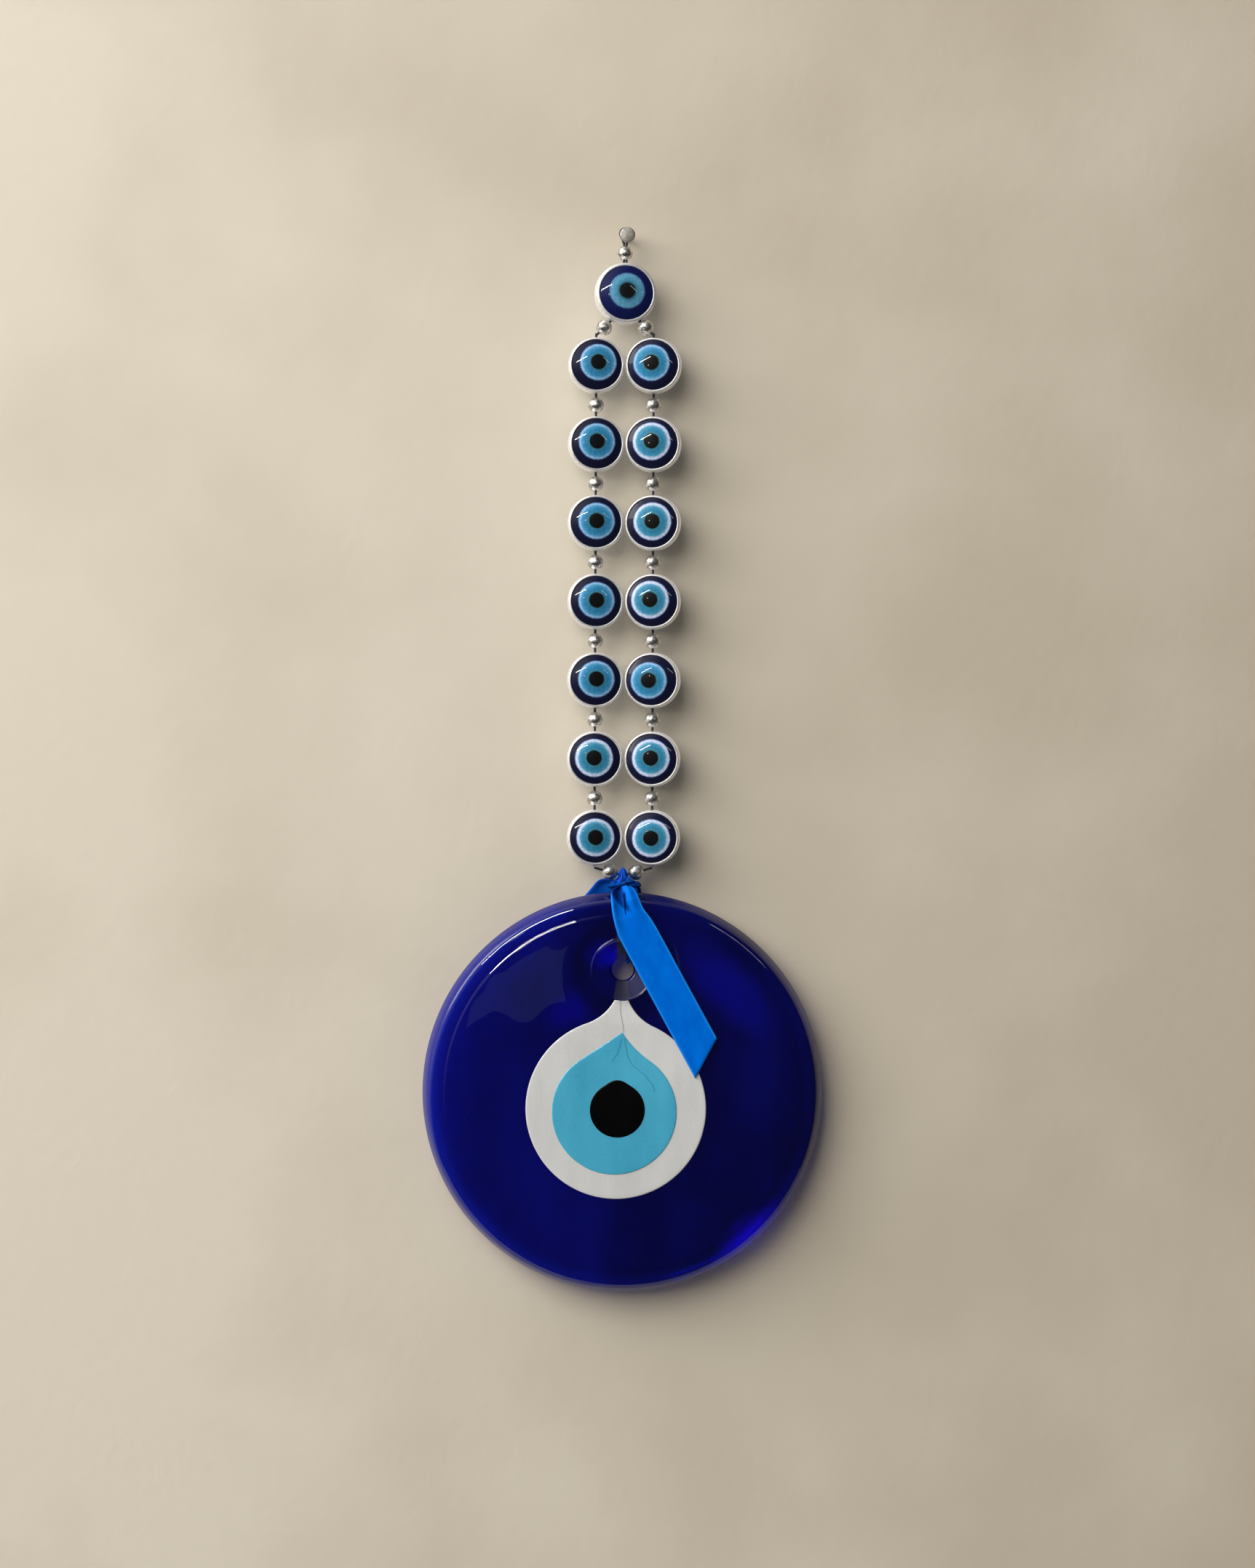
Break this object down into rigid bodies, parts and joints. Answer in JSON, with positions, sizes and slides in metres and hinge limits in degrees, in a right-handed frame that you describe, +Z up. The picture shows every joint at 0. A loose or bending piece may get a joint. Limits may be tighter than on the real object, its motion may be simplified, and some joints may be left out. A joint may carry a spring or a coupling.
{
  "type": "evil eye wall ornament",
  "caption": "Hanging charm: twin strands of double-sided eye beads and round silver beads, joined by a satin ribbon to a cobalt glass disc with an eye, hung by a cord loop.",
  "frame": {"origin": "centre of the nail or hook inside the hanging loop, half way through the ornament's depth", "axes": "+Z up along the hanging ornament, +X to the viewer's right, -Y out of the front towards the viewer and +Y back to the wall"},
  "size_m": [0.13, 0.0154, 0.346],
  "materials": {
    "cord": "waxed round cord, almost black",
    "silver": "bright silver plating over a cast alloy",
    "eye_glass": "glossy domed enamel with pale, sky blue and black rings on dark navy",
    "cobalt_glass": "fire-polished deep cobalt glass",
    "white_glass": "opaque warm white glass, fire-polished",
    "light_blue_glass": "opaque light blue glass, fire-polished",
    "black_glass": "opaque black glass, fire-polished",
    "ribbon": "bright blue satin ribbon with cut ends"
  },
  "bodies": {
    "loop": {"hanging_loop": "cord"},
    "top_ball": {"top_ball": "silver", "top_ball_cords": "cord"},
    "top_eye": {"top_eye_case": "silver", "top_eye_glass": "eye_glass", "top_eye_cords": "cord", "shoulder_balls": "silver"},
    "row_1": {"row_1_cords": "cord", "row_1_balls": "silver"},
    "left_eye_1": {"left_eye_1_case": "silver", "left_eye_1_glass": "eye_glass"},
    "right_eye_1": {"right_eye_1_case": "silver", "right_eye_1_glass": "eye_glass"},
    "row_2": {"row_2_cords": "cord", "row_2_balls": "silver"},
    "left_eye_2": {"left_eye_2_case": "silver", "left_eye_2_glass": "eye_glass"},
    "right_eye_2": {"right_eye_2_case": "silver", "right_eye_2_glass": "eye_glass"},
    "row_3": {"row_3_cords": "cord", "row_3_balls": "silver"},
    "left_eye_3": {"left_eye_3_case": "silver", "left_eye_3_glass": "eye_glass"},
    "right_eye_3": {"right_eye_3_case": "silver", "right_eye_3_glass": "eye_glass"},
    "row_4": {"row_4_cords": "cord", "row_4_balls": "silver"},
    "left_eye_4": {"left_eye_4_case": "silver", "left_eye_4_glass": "eye_glass"},
    "right_eye_4": {"right_eye_4_case": "silver", "right_eye_4_glass": "eye_glass"},
    "row_5": {"row_5_cords": "cord", "row_5_balls": "silver"},
    "left_eye_5": {"left_eye_5_case": "silver", "left_eye_5_glass": "eye_glass"},
    "right_eye_5": {"right_eye_5_case": "silver", "right_eye_5_glass": "eye_glass"},
    "row_6": {"row_6_cords": "cord", "row_6_balls": "silver"},
    "left_eye_6": {"left_eye_6_case": "silver", "left_eye_6_glass": "eye_glass"},
    "right_eye_6": {"right_eye_6_case": "silver", "right_eye_6_glass": "eye_glass"},
    "row_7": {"row_7_cords": "cord"},
    "left_eye_7": {"left_eye_7_case": "silver", "left_eye_7_glass": "eye_glass"},
    "right_eye_7": {"right_eye_7_case": "silver", "right_eye_7_glass": "eye_glass"},
    "foot_balls": {"foot_balls": "silver", "foot_cords": "cord"},
    "ribbon": {"ribbon_knot": "ribbon", "ribbon_loop": "ribbon"},
    "front_tail": {"ribbon_front_tail": "ribbon"},
    "back_tail": {"ribbon_back_tail": "ribbon"},
    "disc": {"glass_disc": "cobalt_glass", "white_drop": "white_glass", "light_blue_drop": "light_blue_glass", "pupil": "black_glass"}
  },
  "joints": [
    {"name": "sway", "type": "hinge", "parent": "loop", "child": "top_ball", "pos_m": [0, 0, -0.00365], "axis": [0, 1, 0], "range_deg": [-25, 25]},
    {"name": "top_fold", "type": "hinge", "parent": "top_ball", "child": "top_eye", "pos_m": [0, 0, -0.0092], "axis": [1, 0, 0], "range_deg": [-25, 25]},
    {"name": "row_1_fold", "type": "hinge", "parent": "top_eye", "child": "row_1", "pos_m": [0, 0, -0.0335], "axis": [1, 0, 0], "range_deg": [-25, 25]},
    {"name": "left_eye_1_spin", "type": "hinge", "parent": "row_1", "child": "left_eye_1", "pos_m": [-0.00935, 0, -0.04295], "axis": [0, 0, 1], "continuous": true},
    {"name": "right_eye_1_spin", "type": "hinge", "parent": "row_1", "child": "right_eye_1", "pos_m": [0.00935, 0, -0.04295], "axis": [0, 0, 1], "continuous": true},
    {"name": "row_2_fold", "type": "hinge", "parent": "row_1", "child": "row_2", "pos_m": [0, 0, -0.05905], "axis": [1, 0, 0], "range_deg": [-25, 25]},
    {"name": "left_eye_2_spin", "type": "hinge", "parent": "row_2", "child": "left_eye_2", "pos_m": [-0.00935, 0, -0.0685], "axis": [0, 0, 1], "continuous": true},
    {"name": "right_eye_2_spin", "type": "hinge", "parent": "row_2", "child": "right_eye_2", "pos_m": [0.00935, 0, -0.0685], "axis": [0, 0, 1], "continuous": true},
    {"name": "row_3_fold", "type": "hinge", "parent": "row_2", "child": "row_3", "pos_m": [0, 0, -0.0846], "axis": [1, 0, 0], "range_deg": [-25, 25]},
    {"name": "left_eye_3_spin", "type": "hinge", "parent": "row_3", "child": "left_eye_3", "pos_m": [-0.00935, 0, -0.09405], "axis": [0, 0, 1], "continuous": true},
    {"name": "right_eye_3_spin", "type": "hinge", "parent": "row_3", "child": "right_eye_3", "pos_m": [0.00935, 0, -0.09405], "axis": [0, 0, 1], "continuous": true},
    {"name": "row_4_fold", "type": "hinge", "parent": "row_3", "child": "row_4", "pos_m": [0, 0, -0.11015], "axis": [1, 0, 0], "range_deg": [-25, 25]},
    {"name": "left_eye_4_spin", "type": "hinge", "parent": "row_4", "child": "left_eye_4", "pos_m": [-0.00935, 0, -0.1196], "axis": [0, 0, 1], "continuous": true},
    {"name": "right_eye_4_spin", "type": "hinge", "parent": "row_4", "child": "right_eye_4", "pos_m": [0.00935, 0, -0.1196], "axis": [0, 0, 1], "continuous": true},
    {"name": "row_5_fold", "type": "hinge", "parent": "row_4", "child": "row_5", "pos_m": [0, 0, -0.1357], "axis": [1, 0, 0], "range_deg": [-25, 25]},
    {"name": "left_eye_5_spin", "type": "hinge", "parent": "row_5", "child": "left_eye_5", "pos_m": [-0.00935, 0, -0.14515], "axis": [0, 0, 1], "continuous": true},
    {"name": "right_eye_5_spin", "type": "hinge", "parent": "row_5", "child": "right_eye_5", "pos_m": [0.00935, 0, -0.14515], "axis": [0, 0, 1], "continuous": true},
    {"name": "row_6_fold", "type": "hinge", "parent": "row_5", "child": "row_6", "pos_m": [0, 0, -0.16125], "axis": [1, 0, 0], "range_deg": [-25, 25]},
    {"name": "left_eye_6_spin", "type": "hinge", "parent": "row_6", "child": "left_eye_6", "pos_m": [-0.00935, 0, -0.1707], "axis": [0, 0, 1], "continuous": true},
    {"name": "right_eye_6_spin", "type": "hinge", "parent": "row_6", "child": "right_eye_6", "pos_m": [0.00935, 0, -0.1707], "axis": [0, 0, 1], "continuous": true},
    {"name": "row_7_fold", "type": "hinge", "parent": "row_6", "child": "row_7", "pos_m": [0, 0, -0.1868], "axis": [1, 0, 0], "range_deg": [-25, 25]},
    {"name": "left_eye_7_spin", "type": "hinge", "parent": "row_7", "child": "left_eye_7", "pos_m": [-0.00935, 0, -0.19625], "axis": [0, 0, 1], "continuous": true},
    {"name": "right_eye_7_spin", "type": "hinge", "parent": "row_7", "child": "right_eye_7", "pos_m": [0.00935, 0, -0.19625], "axis": [0, 0, 1], "continuous": true},
    {"name": "ribbon_fold", "type": "hinge", "parent": "row_7", "child": "foot_balls", "pos_m": [0, 0, -0.2056], "axis": [1, 0, 0], "range_deg": [-25, 25]},
    {"name": "disc_turn", "type": "hinge", "parent": "foot_balls", "child": "ribbon", "pos_m": [0, 0, -0.209], "axis": [0, 0, 1], "range_deg": [-90, 90]},
    {"name": "front_tail_lift", "type": "hinge", "parent": "ribbon", "child": "front_tail", "pos_m": [0, -0.0031, -0.2117], "axis": [-1, 0, 0], "range_deg": [0, 45]},
    {"name": "back_tail_lift", "type": "hinge", "parent": "ribbon", "child": "back_tail", "pos_m": [0, 0.0031, -0.2109], "axis": [1, 0, 0], "range_deg": [0, 40]},
    {"name": "disc_rock", "type": "hinge", "parent": "ribbon", "child": "disc", "pos_m": [0.0012, 0, -0.2367], "axis": [0, 1, 0], "range_deg": [-10, 10]}
  ]
}
